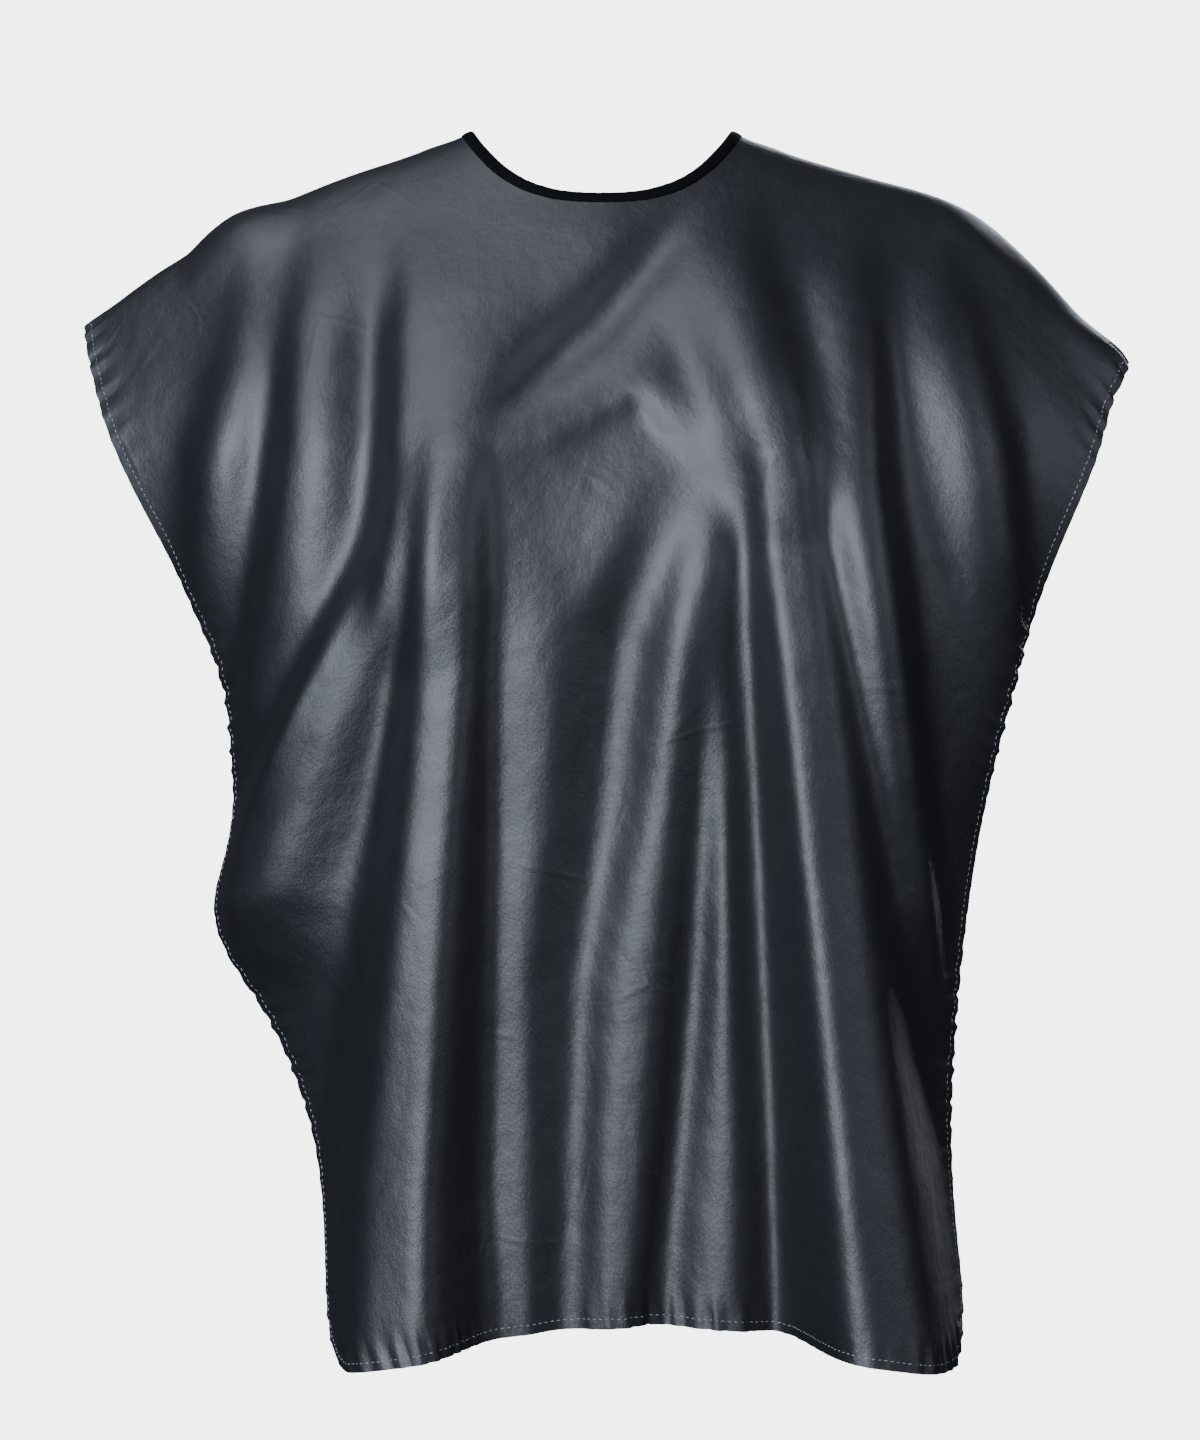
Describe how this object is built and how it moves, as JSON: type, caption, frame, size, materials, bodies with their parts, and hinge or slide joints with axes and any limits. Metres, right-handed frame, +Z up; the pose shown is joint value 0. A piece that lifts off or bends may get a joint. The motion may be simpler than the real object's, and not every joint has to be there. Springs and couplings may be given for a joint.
{
  "type": "barber cape",
  "caption": "Thin woven cape with a round bound neck opening and a snap closure behind, worn over the shoulders to keep cut hair off clothes.",
  "frame": {"origin": "centre of the neck opening, level with the sides of the neck", "axes": "+Z up, the front of the cape faces -Y, +X to the right seen from the front"},
  "size_m": [0.674, 0.3427, 0.7724],
  "materials": {
    "cloth": "satin",
    "binding": "matte",
    "webbing": "matte",
    "snap": "gloss",
    "thread": "satin"
  },
  "bodies": {
    "cape": {"cape_body": "cloth", "neck_binding": "binding", "stud_strip": "webbing", "tab_base": "webbing", "front_hem_thread": "thread", "stud_1": "snap", "stud_2": "snap", "stud_3": "snap", "stud_4": "snap", "stud_5": "snap", "stud_post_1": "snap", "stud_post_2": "snap", "stud_post_3": "snap", "stud_post_4": "snap", "stud_post_5": "snap"},
    "tab": {"closure_tab": "webbing", "socket_1": "snap", "socket_2": "snap", "socket_cap_1": "snap", "socket_cap_2": "snap"},
    "back_left": {"back_panel_left": "cloth", "back_left_hem_thread": "thread"},
    "back_right": {"back_panel_right": "cloth", "back_right_hem_thread": "thread"}
  },
  "joints": [
    {"name": "tab_peel", "type": "hinge", "parent": "cape", "child": "tab", "pos_m": [-0.00809, 0.08603, -0.06721], "axis": [0.0603, -0.5679, 0.8209], "range_deg": [0, 110]},
    {"name": "back_left_lift", "type": "hinge", "parent": "cape", "child": "back_left", "pos_m": [0, 0.11008, -0.12226], "axis": [0.8824, 0.1716, 0.4382], "range_deg": [0, 90]},
    {"name": "back_right_lift", "type": "hinge", "parent": "cape", "child": "back_right", "pos_m": [0, 0.11008, -0.12226], "axis": [0.8824, -0.1716, -0.4382], "range_deg": [0, 90]}
  ]
}
